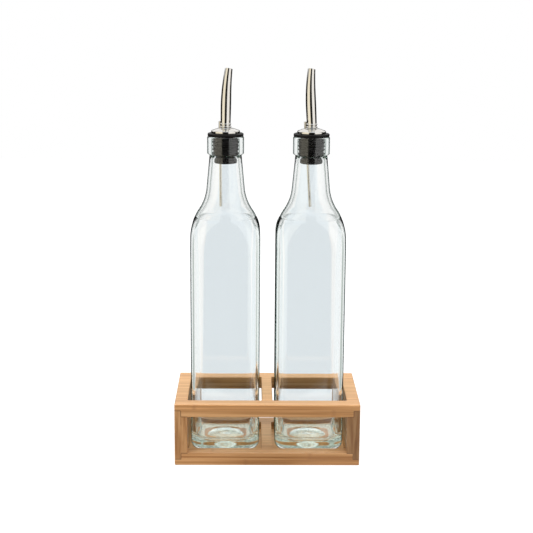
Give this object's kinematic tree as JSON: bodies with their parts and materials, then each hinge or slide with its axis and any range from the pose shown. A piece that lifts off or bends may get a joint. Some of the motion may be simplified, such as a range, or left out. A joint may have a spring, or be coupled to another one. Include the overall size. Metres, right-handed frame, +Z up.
{
  "type": "cruet set",
  "caption": "Oil and vinegar cruet set: square clear glass bottles with bent metal pourers, standing in an open bamboo caddy.",
  "frame": {"origin": "middle of the caddy's underside, on the surface it stands on", "axes": "+Z up, +X to the right along the caddy's long side, +Y to the back along its short side"},
  "size_m": [0.16, 0.093, 0.3384],
  "materials": {
    "bamboo": "satin oiled bamboo",
    "clear_glass": "polished clear",
    "black_plastic": "satin black",
    "stainless_steel": "polished"
  },
  "bodies": {
    "caddy": {"top_board": "bamboo", "bottom_board": "bamboo", "floor_panel": "bamboo", "left_end_panel": "bamboo", "right_end_panel": "bamboo"},
    "left_bottle": {"left_bottle": "clear_glass"},
    "left_pourer": {"left_stopper": "black_plastic", "left_cap": "stainless_steel", "left_spout": "stainless_steel", "left_vent_tube": "stainless_steel"},
    "right_bottle": {"right_bottle": "clear_glass"},
    "right_pourer": {"right_stopper": "black_plastic", "right_cap": "stainless_steel", "right_spout": "stainless_steel", "right_vent_tube": "stainless_steel"}
  },
  "joints": [
    {"name": "left_bottle_lift", "type": "slide", "parent": "caddy", "child": "left_bottle", "axis": [0, 0, 1], "range_m": [0, 0.06]},
    {"name": "left_pourer_pull", "type": "slide", "parent": "left_bottle", "child": "left_pourer", "axis": [0, 0, 1], "range_m": [0, 0.064]},
    {"name": "right_bottle_lift", "type": "slide", "parent": "caddy", "child": "right_bottle", "axis": [0, 0, 1], "range_m": [0, 0.06]},
    {"name": "right_pourer_pull", "type": "slide", "parent": "right_bottle", "child": "right_pourer", "axis": [0, 0, 1], "range_m": [0, 0.064]}
  ]
}
